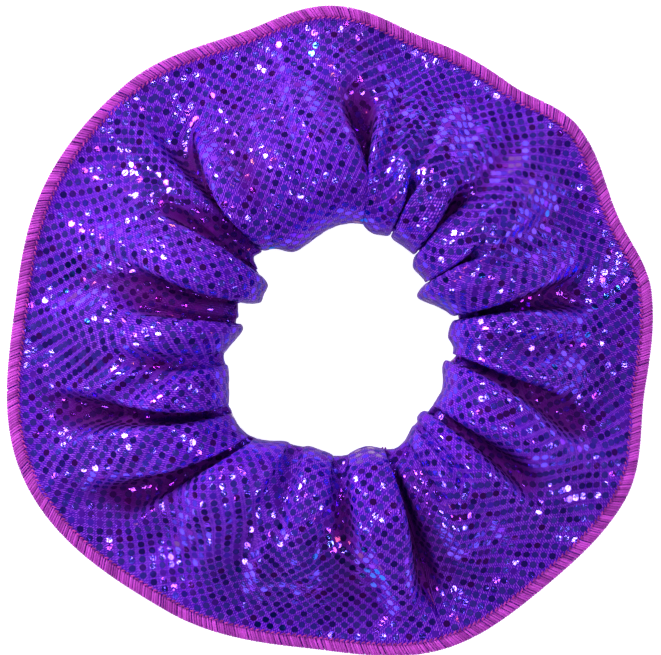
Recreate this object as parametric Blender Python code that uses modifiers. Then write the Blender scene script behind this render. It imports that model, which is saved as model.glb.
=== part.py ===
"""Gymnastics hair scrunchie: one strip of foil-dot spandex folded lengthwise round a flat elastic loop.

The strip's long edges are overlocked together as the outer rim. Its short ends are sewn together, and
their allowances turn in. It lies flat: +Z is up, the surface it lies on is Z = 0, and the origin is the
middle of its box.
"""

import math

import bmesh
import bpy
from mathutils import Vector

MM = 0.001
UP = Vector((0.0, 0.0, 1.0))
COLLECTION = "hair_scrunchie"

# The fabric strip.
FABRIC = 0.5 * MM
COLUMNS = 80  # the places round the rim where the strip is shaped
COLUMN_STEP = 360 / COLUMNS
EDGE_INSET = 0.4 * MM  # from the rim's outline in to the fabric's raw edge
FLAT_BAND = 2.9 * MM  # from the rim's outline in to where the two layers part
EDGE_HALF_GAP = 0.15 * MM  # half the space between the layers under the overlock
NOSE_SHARE = 0.9  # share of the half width that is not in the flat band
NOSE_STEPS = 9

# The crests and dips of the outer rim, and of the hole: (degrees from +X, millimetres from the axis).
RIM_TURNS = (
    (6, 64.5), (22, 61.8), (39, 63.8), (54, 60.8), (70, 61.1), (90, 64.3), (108, 61.8), (130, 63.6),
    (152, 63.9), (173, 63.2), (208, 68.0), (240, 65.3), (264, 64.2), (292, 67.8), (310, 66.9),
    (329, 67.8), (350, 64.0),
)
HOLE_TURNS = (
    (4, 24.0), (20, 18.2), (27, 22.2), (35, 20.4), (43, 23.2), (56, 21.6), (66, 20.5), (74, 21.2),
    (115, 16.6), (136, 20.6), (156, 14.6), (168, 18.8), (180, 17.2), (196, 21.4), (231, 26.9),
    (255, 23.7), (276, 25.2), (286, 24.6), (299, 27.3), (316, 24.6), (329, 25.5), (344, 23.2),
    (350, 24.8), (356, 23.4),
)

# The creases between the gathers: degrees at the hole, degrees at the rim, how far out each one runs as
# a share of the way to the rim, and how high the gather that follows it stands.
CREASES = (
    (5, 9, 0.90, 1.0), (25, 26, 0.35, 0.8), (40, 47, 0.45, 0.9), (56, 57, 0.35, 0.7),
    (74, 82, 0.60, 1.0), (130, 126, 0.95, 0.2), (144, 142, 0.45, 1.0), (164, 167, 0.45, 0.15),
    (177, 178, 0.40, 1.0), (212, 192, 0.85, 0.6), (235, 219, 0.90, 0.7), (254, 250, 0.50, 1.0),
    (293, 290, 0.80, 0.35), (319, 322, 0.65, 0.7), (347, 335, 0.75, 0.9),
)

# Heights above the surface that it lies on.
ELASTIC_HEIGHT = 9.5 * MM
RIM_HEIGHT = 8.0 * MM
RIM_MEAN = 64.4 * MM
RIM_LIFT = 0.9  # how much the rim rises where it swings out past its mean radius
TOP_VALLEY, TOP_GATHER = 9.0 * MM, 6.0 * MM
UNDER_VALLEY, UNDER_GATHER = 9.5 * MM, 5.0 * MM
NOSE_BLUNT, TAIL_SLIM = 0.5, 1.2

# The seam that closes the strip into a ring.
SEAM_ANGLE = 290.0
SEAM_HALF_GAP = 0.15 * MM
ALLOWANCE = 2.5 * MM
ALLOWANCE_AT_RIM = 1.0 * MM
RIM_SEAM_ROOM = 0.85 * MM  # how far the rim's layers part to hold the allowances
RIM_SEAM_SPREAD = 2.5  # columns either side of the seam over which the rim's layers part
SEAM_THREAD = 0.3 * MM
SEAM_CLEARANCE = 0.1 * MM
SEAM_END = 0.72  # the seam's threads stop short of the overlock
SEAM_NEEDLE_DEPTH, SEAM_LOOPER_DEPTH = 1.3 * MM, 2.0 * MM

# The overlock, measured from the rim's outline.
LOOPER = 0.3 * MM
LOOPER_WIDTH = 2.2 * MM
THREAD_CLEARANCE = 0.1 * MM
NEEDLE_NEAR, NEEDLE_FAR = 2.35 * MM, 2.65 * MM

# The elastic loop: a flat hollow braid with six rubber cords side by side in it, its ends overlapped.
HOLE_CENTRE = Vector((0.2 * MM, -2.1 * MM, 0.0))
ELASTIC_RADIUS = 27.3 * MM
ELASTIC_WIDTH = 6.0 * MM
ELASTIC_THICKNESS = 1.0 * MM
BRAID_WALL = 0.15 * MM
LOOP_STEPS = 48
OVERLAP_STEPS = 3
OVERLAP_GAP = 0.15 * MM
EASE_STEPS = 3
CORD_COUNT = 6
CORD_PITCH = 0.92 * MM
CORD_RADIUS = 0.3 * MM
CORD_END_INSET = 0.5  # in steps of the loop
JOIN_THREAD = 0.3 * MM
JOIN_CLEARANCE = 0.1 * MM
JOIN_ZIGZAGS = 10
JOIN_HALF_WIDTH = 2.4 * MM
JOIN_END_INSET = 0.35  # in steps of the loop


def clear_scene():
    for old in list(bpy.data.objects):
        bpy.data.objects.remove(old)


def new_collection(name):
    made = bpy.data.collections.new(name)
    bpy.context.scene.collection.children.link(made)
    return made


def material(name, colour, roughness, metallic=0.0):
    made = bpy.data.materials.new(name)
    made.use_nodes = True
    shader = made.node_tree.nodes["Principled BSDF"]
    shader.inputs["Base Color"].default_value = (*colour, 1.0)
    shader.inputs["Roughness"].default_value = roughness
    shader.inputs["Metallic"].default_value = metallic
    return made


def eased(share):
    """0 to 1 along half a cosine wave, level at both ends."""
    share = min(1.0, max(0.0, share))
    return (1 - math.cos(math.pi * share)) / 2


def between(angle, turns):
    """(entry before the angle, entry after it, share of the way between them), round the circle."""
    angle %= 360
    for index, entry in enumerate(turns):
        after = turns[(index + 1) % len(turns)]
        span = (after[0] - entry[0]) % 360
        gone = (angle - entry[0]) % 360
        if gone < span:
            return entry, after, gone / span
    return turns[0], turns[1], 0.0


def turning(angle, turns):
    """The radius in metres of a smooth closed outline that is level at each crest and dip."""
    before, after, share = between(angle, turns)
    return MM * (before[1] + (after[1] - before[1]) * eased(share))


def polar(angle, radius):
    turn = math.radians(angle)
    return Vector((radius * math.cos(turn), radius * math.sin(turn), 0.0))


def outline_middle():
    """The middle of the rim's box about its axis, which becomes the origin."""
    angles = [SEAM_ANGLE + index * COLUMN_STEP for index in range(COLUMNS)]
    points = [polar(angle, turning(angle, RIM_TURNS)) for angle in angles]
    xs = [point.x for point in points]
    ys = [point.y for point in points]
    return Vector(((min(xs) + max(xs)) / 2, (min(ys) + max(ys)) / 2, 0.0))


AXIS = -outline_middle()  # where the outlines' axis lies in the finished frame


def rim_point(angle):
    radius = turning(angle, RIM_TURNS)
    place = AXIS + polar(angle, radius)
    place.z = RIM_HEIGHT + RIM_LIFT * (radius - RIM_MEAN)
    return place


def rim_frame(angle):
    """(point on the rim's outline midway between the layers, unit vector out of the outline)."""
    along = rim_point(angle + 1) - rim_point(angle - 1)
    return rim_point(angle), Vector((along.y, -along.x, 0.0)).normalized()


def creases_at(angle):
    """(crease before the rim angle, crease after it, share of the way between), by angles at the rim."""
    by_rim = [(rim, hole, reach, height) for hole, rim, reach, height in CREASES]
    return between(angle, by_rim)


def hole_point(angle):
    """Where the fabric that leaves the rim at this angle meets the hole."""
    before, after, share = creases_at(angle)
    at_hole = before[1] + ((after[1] - before[1]) % 360) * share
    place = AXIS + polar(at_hole, turning(at_hole, HOLE_TURNS))
    place.z = ELASTIC_HEIGHT
    return place


def gather(angle, out_share):
    """How far the gather stands up here, from 0 in a crease to its full height on its crest."""
    before, after, share = creases_at(angle)
    reach = before[2] + (after[2] - before[2]) * share
    crest = math.sin(math.pi * share) ** 0.7
    return before[3] * crest * max(0.0, 1 - out_share / reach)


def edge_half_gap(angle):
    """Half the space between the layers at the rim, which opens where the seam's allowances lie."""
    away = abs((angle - SEAM_ANGLE + 180) % 360 - 180) / COLUMN_STEP
    return EDGE_HALF_GAP + RIM_SEAM_ROOM * eased(1 - away / RIM_SEAM_SPREAD)


def sleeve_point(angle, across):
    """A point of the sleeve's outer face. across runs from -1, the under layer's raw edge, through 0,
    the fold inside the hole, to 1, the top layer's raw edge."""
    side = math.copysign(1.0, across)
    rim, out = rim_frame(angle)
    layer = edge_half_gap(angle) + FABRIC
    if abs(across) > NOSE_SHARE:
        along = (abs(across) - NOSE_SHARE) / (1 - NOSE_SHARE)
        place = rim - out * (FLAT_BAND + (EDGE_INSET - FLAT_BAND) * along)
        place.z += side * layer
        return place
    turn = math.pi * abs(across) / NOSE_SHARE
    out_share = (1 - math.cos(turn)) / 2
    inner = hole_point(angle)
    place = inner + (rim - out * FLAT_BAND - inner) * out_share
    swell = max(0.0, math.sin(turn)) ** NOSE_BLUNT * max(0.0, math.cos(turn / 2)) ** TAIL_SLIM
    valley, rise = (TOP_VALLEY, TOP_GATHER) if side > 0 else (UNDER_VALLEY, UNDER_GATHER)
    place.z += side * (swell * (valley + rise * gather(angle, out_share)) + layer * out_share)
    place.z = max(0.0, place.z)
    return place


def strip_vector(angle, across):
    """Unit vector along the strip."""
    return (sleeve_point(angle + 1, across) - sleeve_point(angle - 1, across)).normalized()


def sleeve_normal(angle, across):
    """Unit vector out of the outer face."""
    step = 0.01
    over = sleeve_point(angle, min(1.0, across + step)) - sleeve_point(angle, max(-1.0, across - step))
    return over.cross(strip_vector(angle, across)).normalized()


def across_places():
    """The places across the strip where the sleeve has a row of points."""
    half = [NOSE_SHARE * index / NOSE_STEPS for index in range(1, NOSE_STEPS + 1)] + [1.0]
    return [-place for place in reversed(half)] + [0.0] + half


def seam_point(across, along, depth):
    """A point by the closing seam: along the strip from it, and in from the outer face."""
    place = sleeve_point(SEAM_ANGLE, across) + strip_vector(SEAM_ANGLE, across) * along
    return place - sleeve_normal(SEAM_ANGLE, across) * depth


def allowance(across):
    """How deep the turned-in end is here. It is shallow where the overlock holds it flat."""
    return ALLOWANCE + (ALLOWANCE_AT_RIM - ALLOWANCE) * eased((abs(across) - SEAM_END) / (NOSE_SHARE - SEAM_END))


def loft(name, sections, collection, finish, closed_along=False, closed_across=False):
    """A surface through rows of points, as a mesh object. A closed section's open ends are capped."""
    mesh = bmesh.new()
    rows = [[mesh.verts.new(point) for point in section] for section in sections]
    pairs = list(zip(rows, rows[1:] + rows[:1], strict=True))
    for row, following in pairs if closed_along else pairs[:-1]:
        sides = list(zip(row, row[1:] + row[:1], following[1:] + following[:1], following, strict=True))
        for corners in sides if closed_across else sides[:-1]:
            mesh.faces.new(corners)
    if closed_across and not closed_along:
        mesh.faces.new(reversed(rows[0]))
        mesh.faces.new(rows[-1])
    if closed_across:
        bmesh.ops.recalc_face_normals(mesh, faces=mesh.faces)
    data = bpy.data.meshes.new(name)
    mesh.to_mesh(data)
    mesh.free()
    made = bpy.data.objects.new(name, data)
    made.data.materials.append(finish)
    made.data.shade_smooth()
    collection.objects.link(made)
    return made


def tube(name, points, radius, collection, finish):
    """A thread or cord: a capped curve with four sides."""
    curve = bpy.data.curves.new(name, "CURVE")
    curve.dimensions = "3D"
    curve.bevel_depth = radius
    curve.bevel_resolution = 0
    curve.use_fill_caps = True
    spline = curve.splines.new("POLY")
    spline.points.add(len(points) - 1)
    for vertex, point in zip(spline.points, points, strict=True):
        vertex.co = (*point, 1.0)
    made = bpy.data.objects.new(name, curve)
    made.data.materials.append(finish)
    collection.objects.link(made)
    return made


def build_sleeve(collection, finish):
    """The strip, wrapped once round from the seam to the seam, with both ends turned in."""
    places = across_places()
    starting = [seam_point(across, SEAM_HALF_GAP, 0.0) for across in places]
    ending = [seam_point(across, -SEAM_HALF_GAP, 0.0) for across in places]
    turned_start = [seam_point(across, SEAM_HALF_GAP, allowance(across)) for across in places]
    turned_end = [seam_point(across, -SEAM_HALF_GAP, allowance(across)) for across in places]
    middle = [
        [sleeve_point(SEAM_ANGLE + index * COLUMN_STEP, across) for across in places]
        for index in range(1, COLUMNS)
    ]
    sections = [turned_start, starting, *middle, ending, turned_end]
    sleeve = loft("fabric_sleeve", sections, collection, finish)
    thickness = sleeve.modifiers.new("fabric_thickness", "SOLIDIFY")
    thickness.thickness = FABRIC
    thickness.offset = -1.0


def build_closing_seam(collection, finish):
    """The three overlock threads along the turned-in ends: one on one side, two on the other."""
    places = [across for across in across_places() if abs(across) < SEAM_END]
    beside = SEAM_HALF_GAP + FABRIC + SEAM_CLEARANCE + SEAM_THREAD / 2
    runs = (
        ("closing_seam_needle_thread", beside, SEAM_NEEDLE_DEPTH),
        ("closing_seam_upper_looper_thread", beside, SEAM_LOOPER_DEPTH),
        ("closing_seam_lower_looper_thread", -beside, SEAM_LOOPER_DEPTH),
    )
    for name, along, depth in runs:
        points = [seam_point(across, along, depth) for across in places]
        tube(name, points, SEAM_THREAD / 2, collection, finish)


def build_overlock(collection, finish):
    """The two looper threads that bind the raw edges, above and below, and the needle thread's line."""
    top, under, needle = [], [], []
    for index in range(COLUMNS):
        angle = SEAM_ANGLE + index * COLUMN_STEP
        rim, out = rim_frame(angle)
        low = edge_half_gap(angle) + FABRIC + THREAD_CLEARANCE
        high = low + LOOPER
        lip = THREAD_CLEARANCE
        looper = (
            (LOOPER_WIDTH, low), (LOOPER, low), (LOOPER, lip), (0.0, lip), (0.0, high), (LOOPER_WIDTH, high),
        )
        stitches = (NEEDLE_FAR, low), (NEEDLE_NEAR, low), (NEEDLE_NEAR, high), (NEEDLE_FAR, high)
        top.append([rim - out * inset + UP * height for inset, height in looper])
        under.append([rim - out * inset - UP * height for inset, height in looper])
        needle.append([rim - out * inset + UP * height for inset, height in stitches])
    for name, sections in (
        ("edge_upper_looper_thread", top),
        ("edge_lower_looper_thread", under),
        ("edge_needle_thread", needle),
    ):
        loft(name, sections, collection, finish, closed_along=True, closed_across=True)


def loop_point(step, height=0.0, outward=0.0):
    """A point by the elastic's mid-line, about the loop's own centre. The last steps climb over the first."""
    climbed = eased((step - (LOOP_STEPS - 1 - EASE_STEPS)) / EASE_STEPS)
    radius = ELASTIC_RADIUS + (ELASTIC_THICKNESS + OVERLAP_GAP) * climbed + outward
    return polar(step * 360 / LOOP_STEPS, radius) + UP * height


def build_braid(collection, finish):
    """The flat braid, hollow from end to end."""
    half_width, half_thick = ELASTIC_WIDTH / 2, ELASTIC_THICKNESS / 2
    mesh = bmesh.new()
    rings = []
    for step in range(LOOP_STEPS + OVERLAP_STEPS + 1):
        for wall in (0.0, BRAID_WALL):
            high, thick = half_width - wall, half_thick - wall
            corners = (-high, -thick), (-high, thick), (high, thick), (high, -thick)
            rings.append([mesh.verts.new(loop_point(step, *corner)) for corner in corners])
    outer, inner = rings[0::2], rings[1::2]
    ends = (outer[0], inner[0]), (outer[-1], inner[-1])
    for row, following in [*zip(outer, outer[1:]), *zip(inner, inner[1:]), *ends]:
        for corners in zip(row, following, following[1:] + following[:1], row[1:] + row[:1], strict=True):
            mesh.faces.new(corners)
    bmesh.ops.recalc_face_normals(mesh, faces=mesh.faces)
    data = bpy.data.meshes.new("elastic_braid")
    mesh.to_mesh(data)
    mesh.free()
    data.materials.append(finish)
    made = bpy.data.objects.new("elastic_braid", data)
    collection.objects.link(made)
    return made


def build_elastic(collection, braid_finish, rubber_finish, thread_finish):
    """The braid, its cords and the zigzag through its overlapped ends, all on the loop's axis."""
    axis = bpy.data.objects.new("elastic_axis", None)
    axis.location = HOLE_CENTRE + UP * ELASTIC_HEIGHT
    collection.objects.link(axis)
    pieces = [build_braid(collection, braid_finish)]
    last = LOOP_STEPS + OVERLAP_STEPS
    cord_steps = [CORD_END_INSET, *range(1, last), last - CORD_END_INSET]
    for index in range(CORD_COUNT):
        height = (index - (CORD_COUNT - 1) / 2) * CORD_PITCH
        points = [loop_point(step, height) for step in cord_steps]
        pieces.append(tube(f"rubber_cord_{index + 1}", points, CORD_RADIUS, collection, rubber_finish))
    away = ELASTIC_THICKNESS / 2 + JOIN_CLEARANCE + JOIN_THREAD / 2
    span = (OVERLAP_STEPS - 2 * JOIN_END_INSET) / JOIN_ZIGZAGS
    for name, first, outward in (
        ("elastic_join_bobbin_thread", JOIN_END_INSET, -away),
        ("elastic_join_needle_thread", JOIN_END_INSET + LOOP_STEPS, away),
    ):
        points = [
            loop_point(first + span * index, JOIN_HALF_WIDTH * (-1) ** index, outward)
            for index in range(JOIN_ZIGZAGS + 1)
        ]
        pieces.append(tube(name, points, JOIN_THREAD / 2, collection, thread_finish))
    for piece in pieces:
        piece.parent = axis


def main():
    clear_scene()
    parts = new_collection(COLLECTION)
    fabric = material("foil_dot_spandex", (0.12, 0.02, 0.60), 0.35)
    thread = material("magenta_thread", (0.75, 0.08, 0.75), 0.55)
    braid = material("white_elastic_braid", (0.85, 0.85, 0.83), 0.8)
    rubber = material("latex_rubber", (0.72, 0.62, 0.45), 0.6)
    white = material("white_thread", (0.90, 0.90, 0.90), 0.6)
    build_sleeve(parts, fabric)
    build_closing_seam(parts, thread)
    build_overlock(parts, thread)
    build_elastic(parts, braid, rubber, white)


main()
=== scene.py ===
"""Looks of a gymnastics hair scrunchie: gathered foil-dot spandex, an overlocked rim, and elastic inside."""

import math
from collections import namedtuple

import bpy
import numpy as np
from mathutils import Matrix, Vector


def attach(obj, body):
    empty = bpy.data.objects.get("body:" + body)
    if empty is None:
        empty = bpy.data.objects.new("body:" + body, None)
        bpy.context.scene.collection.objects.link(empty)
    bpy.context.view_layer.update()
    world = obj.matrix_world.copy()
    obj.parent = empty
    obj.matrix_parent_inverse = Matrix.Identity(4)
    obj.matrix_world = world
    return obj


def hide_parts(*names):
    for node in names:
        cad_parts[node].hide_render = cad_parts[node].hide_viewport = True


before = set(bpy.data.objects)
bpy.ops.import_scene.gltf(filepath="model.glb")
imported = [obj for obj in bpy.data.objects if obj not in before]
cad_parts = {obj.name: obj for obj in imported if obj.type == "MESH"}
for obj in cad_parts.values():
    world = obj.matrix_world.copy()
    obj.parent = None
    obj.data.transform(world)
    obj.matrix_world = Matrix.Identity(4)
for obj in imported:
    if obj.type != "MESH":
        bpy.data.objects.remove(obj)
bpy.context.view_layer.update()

MM = 0.001
RANDOM = np.random.default_rng(7)

# The rim, as in the CAD model, and the hole between the notches that its folds make in it:
# (degrees from +X, millimetres from the axis).
RIM_TURNS = (
    (6, 64.5), (22, 61.8), (39, 63.8), (54, 60.8), (70, 61.1), (90, 64.3), (108, 61.8), (130, 63.6),
    (152, 63.9), (173, 63.2), (208, 68.0), (240, 65.3), (264, 64.2), (292, 67.8), (310, 66.9),
    (329, 67.8), (350, 64.0),
)
HOLE_TURNS = (
    (4, 24.0), (20, 18.2), (27, 20.8), (35, 20.2), (43, 21.8), (56, 21.4), (66, 20.5), (74, 21.2),
    (115, 16.6), (129, 19.6), (137, 20.8), (146, 14.8), (160, 14.6), (168, 18.8), (180, 17.2),
    (196, 21.4), (231, 26.9), (255, 23.7), (276, 25.2), (286, 24.6), (299, 27.3), (316, 24.6),
    (329, 25.5), (344, 23.2), (350, 24.8), (356, 23.4),
)

# The strip, in metres. Lengths and heights below are in millimetres, except the lamps' and the camera's.
STRIP_LENGTH, STRIP_WIDTH = 0.406, 0.102
RAW_EDGE_INSET = 0.2
LAYER_HALF_GAP = 0.35

# The folds between the gathers, anticlockwise from the closing seam: degrees at the hole, 45% of the way
# out and at the rim; how deep the fold is; the share of the way out that it reaches; how sharp its
# clockwise and anticlockwise sides are, 0 to 1; and the crown of the gather that follows it.
Fold = namedtuple("Fold", "hole middle rim depth reach clockwise anticlockwise crown")
FOLDS = [Fold(*values) for values in (
    (293, 291.5, 290, 8.2, 0.88, 1.0, 0.2, -4.0),
    (303, 302, 301, 3.0, 0.35, 0.3, 0.5, 0.0),
    (312, 311, 309, 3.0, 0.30, 0.4, 0.4, 0.0),
    (319, 321, 317, 6.8, 0.62, 0.9, 0.5, 0.8),
    (347, 341, 333, 6.8, 0.80, 0.6, 0.7, 0.0),
    (365, 368.5, 370, 9.0, 0.90, 0.6, 0.8, 0.8),
    (385, 388, 390, 6.5, 0.10, 0.8, 0.8, 0.3),
    (400.5, 406, 408, 8.0, 0.24, 0.8, 0.8, 0.5),
    (417, 421, 422, 6.0, 0.10, 0.8, 0.8, 0.2),
    (433, 440, 444, 9.0, 0.62, 0.8, 0.9, 0.8),
    (489, 491, 486, 9.0, 0.95, 1.0, 0.4, -6.0),
    (504, 504, 503, 6.8, 0.50, 0.4, 1.0, 1.6),
    (523.5, 525, 520, 6.8, 0.45, 1.0, 0.3, -5.0),
    (537, 534, 526, 6.0, 0.45, 0.3, 0.8, 0.3),
    (556, 549, 536, 3.0, 0.45, 0.4, 0.4, 0.3),
    (579, 563, 551, 7.5, 0.85, 0.7, 0.5, -1.2),
    (594, 582, 575, 7.5, 0.90, 0.7, 0.6, 0.0),
    (614, 611.5, 609, 3.0, 0.60, 0.3, 0.3, 0.0),
    (635, 632, 630, 3.0, 0.40, 0.3, 0.4, 0.8),
)]
MIDWAY = 0.45
LEAST_REACH, MORE_REACH = 0.27, 0.80  # the reach of a fold at 0 in the table, and what is added by 1
UNDER_DEPTH, UNDER_SHARPNESS, UNDER_LEAN = 0.75, 0.7, 1.6  # the folds of the under layer are gentler

# Small creases on the top: degrees and millimetres of each end, depth and width.
CREASES = (
    (25, 59, 15, 39, 0.9, 1.5), (88, 60, 80, 50, 0.6, 1.3), (60, 60, 52, 44, 0.7, 1.3),
    (254, 38, 250, 50, 0.6, 1.2), (205, 58, 212, 46, 0.6, 1.5), (150, 58, 146, 44, -0.7, 2.2),
    (112, 56, 104, 38, 0.5, 2.2), (272, 57, 266, 42, 0.5, 1.8), (306, 58, 309, 44, 0.6, 1.6),
    (172, 56, 168, 44, 0.6, 1.6), (233, 59, 241, 45, 0.5, 1.8), (352, 58, 356, 44, 0.6, 1.8),
)

# Heights above the surface that it lies on.
ELASTIC_HEIGHT, RIM_HEIGHT, FLOOR = 9.5, 8.0, 0.15
RIM_MEAN, RIM_LIFT = 64.4, 0.9  # the rim stands higher where it is further out than its mean
TOP_BULGE, UNDER_BULGE = 12.5, 10.4
CREST_SHARE = 0.30  # how far out the layers stand highest

# The hole's edge dips outward at each fold, by a share of the fold's depth, and stays short of the elastic.
NOTCH, NOTCH_END, NOTCH_LIMIT = 0.24, 0.30, 25.6

# How the cloth lies round the elastic and at the closing seam.
ELASTIC_CLEARANCE, SEAM_CLEARANCE = 3.5, 1.5  # over the elastic's middle, and more by the closing seam
CLEARED_HALF_WIDTH, SEAM_SPREAD = 2.6, 6.0  # how far from the elastic, and how many degrees from the seam
SEAM_ALLOWANCE, SEAM_LIP, SEAM_GAP = 2.3, 0.25, 0.03  # how far the strip's short ends are turned in
TURNED_IN = (1.0, 0.6, 0.25, 0.06)  # shares of that depth, from the cut edge outward

# Waves round the ring, and how high each is.
RIPPLES = ((5, 0.5), (9, 0.6), (14, 0.65), (23, 0.62), (37, 0.42), (61, 0.20), (89, 0.13))

COLUMNS, ROWS, FINE_ROWS = 640, 96, 80
TUCK_REACH, TUCK_BLUR = 22, 11  # columns, over which the crests are found for the painted fold shade
NOSE_SHARE = 0.17  # how much of the half width, beside the hole, gets the painted shade of the folds

# The elastic, as in the CAD model.
LOOP_CENTRE = np.array([0.2, -2.1])
LOOP_RADIUS, LOOP_WIDTH, LOOP_THICKNESS = 27.3, 6.0, 1.0
LOOP_STEPS, LOOP_OVERLAP, LOOP_CLIMB, LOOP_RISE = 48, 3, 3, 1.15
LAST_STEP = LOOP_STEPS + LOOP_OVERLAP
CORDS, CORD_PITCH, CORD_RADIUS = 6, 0.92, 0.28
BRAID_SIDES, BRAID_SECTIONS = 60, 4 * LAST_STEP + 1
ZIGZAGS, ZIGZAG_INSET, ZIGZAG_HEIGHT, ZIGZAG_OUTWARD, ZIGZAG_RADIUS = 10, 0.35, 2.4, 0.68, 0.14

# Foil dots: a square lattice set at 45 degrees to the strip.
DOT_PITCH, DOT_RADIUS, DOT_SIDES = 1.87, 0.70, 10
DOT_EDGE_LIFT, DOT_MIDDLE_LIFT = 0.035, 0.055
BARE_ROWS, BARE_COLUMNS = 2.6, 0.7  # no dot's middle lies nearer the cut edges than this
FLASHES_FROM = 0.965  # dots whose chance is higher flash in rainbow colours

# The overlock. Textured nylon lies as two flat strands in each looper stitch.
STITCHES, STRANDS, THREAD_SIDES = 376, 2, 6
# The points of each path: millimetres in from the rim's outline, over its plane, and along it.
LOOPER_PATH = (
    (2.30, 0.42, -0.62), (2.10, 0.76, -0.54), (1.60, 0.93, -0.30), (1.00, 0.95, 0.0),
    (0.45, 0.85, 0.28), (0.10, 0.60, 0.46), (-0.02, 0.28, 0.55), (0.03, -0.02, 0.58),
)
LOOPER_WIDTHS = (0.12, 0.21, 0.25, 0.26, 0.25, 0.24, 0.22, 0.17)
LOOPER_THICKNESSES = (0.07, 0.12, 0.15, 0.16, 0.15, 0.14, 0.12, 0.08)
NEEDLE_PATH = (
    (2.20, 0.78, -0.46), (2.30, 1.02, -0.30), (2.42, 1.10, -0.04), (2.54, 1.00, 0.22), (2.62, 0.66, 0.38),
)
NEEDLE_WIDTHS = (0.07, 0.16, 0.19, 0.16, 0.07)

# The lamps: name, place and side in metres, watts and colour. The small high ones make the foil flash.
WHITE, VIOLET = (0.90, 1.0, 0.97), (0.45, 0.15, 1.0)
LAMPS = (
    ("key", (-0.62, 0.60, 0.42), 0.23, 7.8, WHITE),
    ("fill", (0.80, -0.20, 0.50), 0.20, 2.5, WHITE),
    ("low_left", (-0.7, -0.5, 0.4), 0.18, 2.2, WHITE),
    ("spark_a", (0.22, 0.36, 0.9), 0.078, 1.05, WHITE),
    ("spark_b", (-0.26, -0.30, 0.9), 0.078, 1.05, WHITE),
    ("spark_c", (0.42, -0.36, 0.8), 0.078, 1.05, WHITE),
    ("spark_d", (-0.42, 0.34, 0.74), 0.07, 0.85, WHITE),
    ("spark_e", (0.05, 0.60, 0.7), 0.07, 0.85, WHITE),
    ("violet_high", (-0.40, -0.25, 0.75), 0.45, 0.15, VIOLET),
    ("violet_right", (0.60, 0.45, 0.60), 0.80, 0.2, VIOLET),
)

# The camera, in metres and in its own millimetres.
VIEW_WIDTH, LENS, SENSOR = 0.1322, 150.0, 36.0


# ---------------------------------------------------------------- shapes


def smooth(x):
    """0 to 1, level at both ends."""
    x = np.clip(x, 0.0, 1.0)
    return x * x * (3 - 2 * x)


def turning(angle, turns):
    """Radius of a smooth closed outline that is level at each of its crests and dips."""
    angle = np.asarray(angle, float) % 360
    table = np.array(turns, float)
    at = np.concatenate([table[:, 0] - 360, table[:, 0], table[:, 0] + 360])
    radius = np.tile(table[:, 1], 3)
    i = np.searchsorted(at, angle, side="right") - 1
    share = (angle - at[i]) / (at[i + 1] - at[i])
    return radius[i] + (radius[i + 1] - radius[i]) * (1 - np.cos(np.pi * share)) / 2


def polar(angle, radius):
    turn = np.radians(angle)
    return np.stack([radius * np.cos(turn), radius * np.sin(turn)], -1)


def outline_axis():
    """Where the outlines' axis lies when the rim's box is centred on the origin."""
    angles = np.linspace(0, 360, 721)
    points = polar(angles, turning(angles, RIM_TURNS))
    return -(points.min(0) + points.max(0)) / 2


AXIS = outline_axis()


def fold_side(sharp):
    """The side of a gather, from the bottom of its fold (0, 0) to its crown (1, 1), at even steps of cloth.
    A gentle side is a wave. A sharp one folds back under the crown."""
    steps = 200
    slope_share, most_turn = 1 - 0.5 * sharp, 1.1 + 1.25 * sharp
    u = np.linspace(0, 1, steps + 1)
    turn = most_turn * np.sin(np.pi * np.minimum(1, u / slope_share))
    x = np.concatenate([[0], np.cumsum(np.cos(turn[1:]) + np.cos(turn[:-1]))])
    y = np.concatenate([[0], np.cumsum(np.sin(turn[1:]) + np.sin(turn[:-1]))])
    return u, x / x[-1], y / y[-1]


def fold_angle(fold, share):
    """Where a fold runs: its angle at this share of the way from the hole to the rim."""
    at_hole = (share - MIDWAY) * (share - 1) / MIDWAY
    at_mid = share * (share - 1) / (MIDWAY * (MIDWAY - 1))
    at_rim = share * (share - MIDWAY) / (1 - MIDWAY)
    return fold.hole * at_hole + fold.middle * at_mid + fold.rim * at_rim


def half_gathers():
    """The strip as half gathers, each from a fold to a crown or from a crown to a fold."""
    halves = []
    count = len(FOLDS)
    for index, fold in enumerate(FOLDS):
        after = FOLDS[(index + 1) % count]
        if index == count - 1:
            after = after._replace(hole=after.hole + 360, middle=after.middle + 360, rim=after.rim + 360)
        span = (after.rim - fold.rim) / 2
        steps = max(6, round(COLUMNS * span / 360))
        for rising in (True, False):
            halves.append({"from": fold, "to": after, "rising": rising, "steps": steps, "span": span})
    first = 0
    for half in halves:
        half["first"] = first
        first += half["steps"]
    return halves


HALVES = half_gathers()
LAST_COLUMN = HALVES[-1]["first"] + HALVES[-1]["steps"]


def swell(share, bulge):
    """Height of a layer over the middle plane: steep at the hole, and falling gently to the rim."""
    near = np.sqrt(np.clip(1 - (1 - share / CREST_SHARE) ** 2, 0, 1))
    far = 0.5 + 0.5 * np.cos(np.pi * np.clip((share - CREST_SHARE) / (0.97 - CREST_SHARE), 0, 1))
    return LAYER_HALF_GAP + (bulge - LAYER_HALF_GAP) * np.where(share < CREST_SHARE, near, far)


def ripple(angle, share, seed):
    """Low uneven waves in the cloth, strongest midway between the hole and the rim."""
    chance = np.random.default_rng(seed)
    total = np.zeros(np.broadcast(angle, share).shape)
    for waves, size in RIPPLES:
        phase, lean = chance.uniform(0, 2 * np.pi), chance.uniform(-7, 7)
        total += size * np.sin(np.radians(angle) * waves + phase + lean * share)
        total += 0.5 * size * np.sin(np.radians(angle) * waves * 0.7 - phase + 2.2 * lean * share)
    return total * np.clip(np.sin(np.pi * np.clip(share, 0, 1)), 0, 1) ** 0.7


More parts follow.
